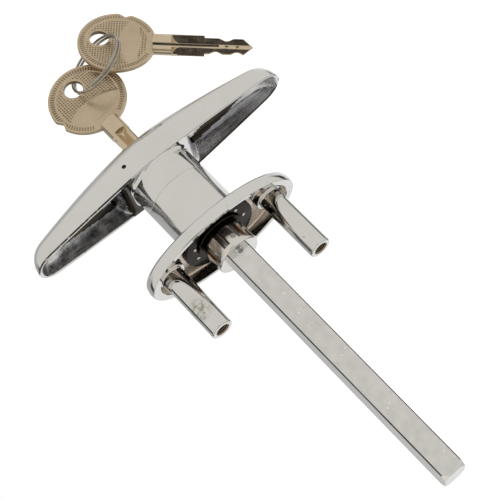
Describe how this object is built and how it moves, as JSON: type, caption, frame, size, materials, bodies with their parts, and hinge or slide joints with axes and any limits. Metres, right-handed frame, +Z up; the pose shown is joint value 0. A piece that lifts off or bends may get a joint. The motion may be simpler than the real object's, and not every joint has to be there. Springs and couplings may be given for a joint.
{
  "type": "garage door T handle lock",
  "caption": "Chrome T handle with a keyed cylinder, turning in an oval back plate with two tapped fixing posts and driving a long square spindle; two cross-shaped keys hang on a split ring.",
  "frame": {"origin": "on the spindle axis, in the plane of the back plate's rim that lies on the door", "axes": "+Y along the spindle into the door, +Z up along the T bar, +X across the plate"},
  "size_m": [0.034, 0.2052, 0.1093],
  "materials": {
    "plate_chrome": "polished chrome over zinc casting, lightly pitted",
    "handle_chrome": "polished chrome over zinc casting, rough cast in the hollows",
    "hub_zinc": "bright plated zinc casting",
    "spindle_steel": "bright plated drawn square bar, scratched",
    "pin_steel": "plain steel",
    "washer_black": "black finished spring steel",
    "cylinder_metal": "satin plated brass",
    "plug_brass": "turned brass",
    "key_nickel": "worn nickel plating",
    "ring_steel": "bright plated spring wire"
  },
  "bodies": {
    "plate": {"back_plate": "plate_chrome"},
    "handle": {"t_handle": "handle_chrome", "drive_hub": "hub_zinc", "spindle": "spindle_steel", "cross_pin": "pin_steel", "retaining_washer": "washer_black", "cylinder_body": "cylinder_metal", "driver_pins": "plug_brass", "tumbler_springs": "pin_steel", "keeper_pin": "pin_steel"},
    "plug": {"lock_plug": "plug_brass", "key_pins": "plug_brass", "plug_clip": "pin_steel", "lock_cam": "plug_brass"},
    "bolt": {"locking_bolt": "pin_steel"},
    "first_key": {"key_1_blade": "key_nickel", "key_1_bow": "key_nickel"},
    "ring": {"key_ring": "ring_steel"},
    "second_key": {"key_2_blade": "key_nickel", "key_2_bow": "key_nickel"}
  },
  "joints": [
    {"name": "handle_turn", "type": "hinge", "parent": "plate", "child": "handle", "pos_m": [0, 0, 0], "axis": [0, 1, 0], "range_deg": [0, 90]},
    {"name": "plug_turn", "type": "hinge", "parent": "handle", "child": "plug", "pos_m": [0, 0, 0], "axis": [0, 1, 0], "range_deg": [0, 90]},
    {"name": "bolt_slide", "type": "slide", "parent": "handle", "child": "bolt", "axis": [-1, 0, 0], "range_m": [0, 0.0019]},
    {"name": "key_slide", "type": "slide", "parent": "plug", "child": "first_key", "axis": [0, -1, 0], "range_m": [0, 0.022]},
    {"name": "ring_swing", "type": "hinge", "parent": "first_key", "child": "ring", "pos_m": [0, -0.08055, 0.0013], "axis": [1, 0, 0], "range_deg": [-60, 10]},
    {"name": "second_key_swing", "type": "hinge", "parent": "ring", "child": "second_key", "pos_m": [-0.00224, -0.08945, -0.01752], "axis": [-0.9705, -0.0526, -0.2351], "range_deg": [-4, 130]}
  ],
  "couplings": [
    {"joint": "bolt_slide", "follows": "plug_turn", "m_per_rad": 0.0012}
  ]
}
